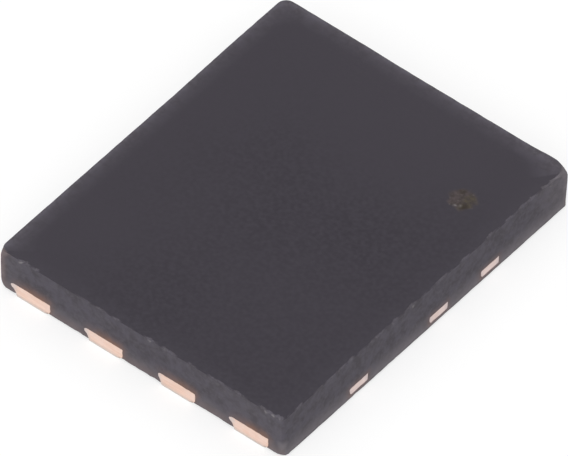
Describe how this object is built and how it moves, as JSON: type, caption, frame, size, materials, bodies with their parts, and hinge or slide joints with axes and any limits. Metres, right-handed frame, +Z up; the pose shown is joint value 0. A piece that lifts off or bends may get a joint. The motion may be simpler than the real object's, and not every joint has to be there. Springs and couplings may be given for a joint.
{
  "type": "dual power transistor package",
  "caption": "Flat leadless power transistor package with two dies on an etched copper frame, solder lands on two short sides and exposed pads below.",
  "frame": {"origin": "middle of the seating plane, which is the underside of the tinned lands and pads", "axes": "+X along the short sides towards the gate leads, +Y along the long sides towards the row that starts with the first pin, +Z up through the marked top face"},
  "size_m": [0.005, 0.006, 0.0008],
  "materials": {
    "mould_compound": "matte, filled epoxy, fine-grained top and saw-cut sides",
    "frame_copper": "bare copper alloy, freshly saw-cut at the body's sides",
    "matte_tin": "matte electroplated tin",
    "solder": "dull solder",
    "silicon": "polished dark grey silicon",
    "die_metal": "satin evaporated metal",
    "clip_copper": "bare stamped copper",
    "bond_wire": "drawn wire"
  },
  "bodies": {
    "root": {"mould_body": "mould_compound", "gate_lead_high": "frame_copper", "drain_paddle": "frame_copper", "phase_paddle": "frame_copper", "source_lead": "frame_copper", "gate_lead_low": "frame_copper", "tin_gate_high": "matte_tin", "tin_drain": "matte_tin", "tin_phase": "matte_tin", "tin_source": "matte_tin", "tin_gate_low": "matte_tin", "die_solder_high": "solder", "die_solder_low": "solder", "die_high": "silicon", "die_low": "silicon", "source_metal_high": "die_metal", "source_metal_low": "die_metal", "gate_pad_high": "die_metal", "gate_pad_low": "die_metal", "clip_solder_high": "solder", "clip_solder_low": "solder", "foot_solder_high": "solder", "foot_solder_low": "solder", "source_clip_high": "clip_copper", "source_clip_low": "clip_copper", "gate_wire_high": "bond_wire", "gate_wire_low": "bond_wire"}
  },
  "joints": []
}
